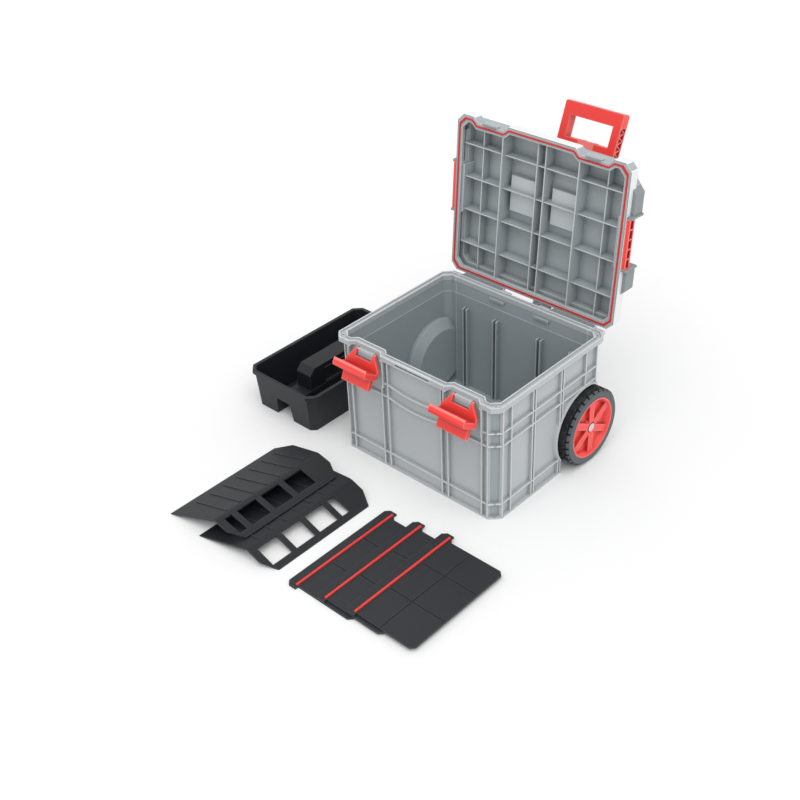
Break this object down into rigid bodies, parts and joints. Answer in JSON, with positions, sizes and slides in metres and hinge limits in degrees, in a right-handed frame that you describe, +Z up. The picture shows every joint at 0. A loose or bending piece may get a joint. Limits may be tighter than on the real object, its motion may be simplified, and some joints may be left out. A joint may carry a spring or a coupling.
{
  "type": "rolling toolbox",
  "caption": "Rolling toolbox in grey ribbed plastic with red latches, open lid, wheels, leaning pull handle, lift-out tray, tool organisers and dividers",
  "frame": {"origin": "on the floor under the middle of the crate's rim", "axes": "X to the right seen from the latch side, Y from the latches towards the hinges and the handle, Z up"},
  "size_m": [0.843, 1.0577, 0.6667],
  "materials": {
    "grey_plastic": "fine moulded grain",
    "red_plastic": "satin moulded",
    "red_seal": "soft matte",
    "black_plastic": "fine moulded grain",
    "tyre": "matte",
    "steel": "turned",
    "aluminium": "satin anodised"
  },
  "bodies": {
    "crate": {"crate_floor": "grey_plastic", "crate_front": "grey_plastic", "crate_ledges": "grey_plastic", "crate_back": "grey_plastic", "crate_corner_left": "grey_plastic", "crate_corner_right": "grey_plastic", "crate_side_left": "grey_plastic", "crate_side_right": "grey_plastic", "crate_well_left": "grey_plastic", "crate_well_right": "grey_plastic", "axle_stubs": "steel", "axle_retainers": "steel", "hinge_pins": "steel", "latch_pins": "steel", "handle_console": "grey_plastic", "handle_channel": "aluminium", "channel_collar": "black_plastic", "console_screws": "steel"},
    "lid": {"lid_shell": "grey_plastic", "lid_gasket": "red_seal", "side_grip_left": "red_plastic", "side_grip_right": "red_plastic"},
    "latch_left": {"latch_lever_left": "red_plastic"},
    "latch_right": {"latch_lever_right": "red_plastic"},
    "wheel_left": {"wheel_hub_left": "red_plastic", "wheel_tyre_left": "tyre"},
    "wheel_right": {"wheel_hub_right": "red_plastic", "wheel_tyre_right": "tyre"},
    "handle": {"handle_post": "aluminium", "handle_loop": "red_plastic", "loop_pins": "steel"},
    "button": {"handle_button": "red_plastic"},
    "tray": {"tray_body": "black_plastic"},
    "lower_organiser": {"organiser_lower": "black_plastic"},
    "upper_organiser": {"organiser_upper": "black_plastic"},
    "divider_bottom": {"divider_panel_bottom": "black_plastic", "divider_strip_bottom": "red_plastic"},
    "divider_middle": {"divider_panel_middle": "black_plastic", "divider_strip_middle": "red_plastic"},
    "divider_top": {"divider_panel_top": "black_plastic", "divider_strip_top": "red_plastic"}
  },
  "joints": [
    {"name": "lid_hinge", "type": "hinge", "parent": "crate", "child": "lid", "pos_m": [0, 0.1925, 0.2835], "axis": [1, 0, 0], "range_deg": [0, 94.6]},
    {"name": "latch_left_hinge", "type": "hinge", "parent": "crate", "child": "latch_left", "pos_m": [-0.135, -0.179, 0.278], "axis": [1, 0, 0], "range_deg": [-15, 24]},
    {"name": "latch_right_hinge", "type": "hinge", "parent": "crate", "child": "latch_right", "pos_m": [0.135, -0.179, 0.278], "axis": [1, 0, 0], "range_deg": [-15, 24]},
    {"name": "wheel_left_spin", "type": "hinge", "parent": "crate", "child": "wheel_left", "pos_m": [-0.227, 0.121, 0.09], "axis": [1, 0, 0], "continuous": true},
    {"name": "wheel_right_spin", "type": "hinge", "parent": "crate", "child": "wheel_right", "pos_m": [0.227, 0.121, 0.09], "axis": [1, 0, 0], "continuous": true},
    {"name": "handle_slide", "type": "slide", "parent": "crate", "child": "handle", "axis": [0, 0.3681, 0.9298], "range_m": [-0.17, 0]},
    {"name": "button_press", "type": "slide", "parent": "handle", "child": "button", "axis": [0, 0.3681, 0.9298], "range_m": [-0.004, 0], "stiffness_N_per_m": 400, "springref_m": 0.002},
    {"name": "tray_lift", "type": "slide", "parent": "crate", "child": "tray", "axis": [0, 0, 1], "range_m": [0, 0.2]},
    {"name": "lower_organiser_lift", "type": "slide", "parent": "crate", "child": "lower_organiser", "axis": [0, 0, 1], "range_m": [0, 0.2]},
    {"name": "upper_organiser_lift", "type": "slide", "parent": "lower_organiser", "child": "upper_organiser", "axis": [0, 0, 1], "range_m": [0, 0.2]},
    {"name": "divider_bottom_lift", "type": "slide", "parent": "crate", "child": "divider_bottom", "axis": [0, 0, 1], "range_m": [0, 0.2]},
    {"name": "divider_middle_lift", "type": "slide", "parent": "divider_bottom", "child": "divider_middle", "axis": [0, 0, 1], "range_m": [0, 0.2]},
    {"name": "divider_top_lift", "type": "slide", "parent": "divider_middle", "child": "divider_top", "axis": [0, 0, 1], "range_m": [0, 0.2]}
  ]
}
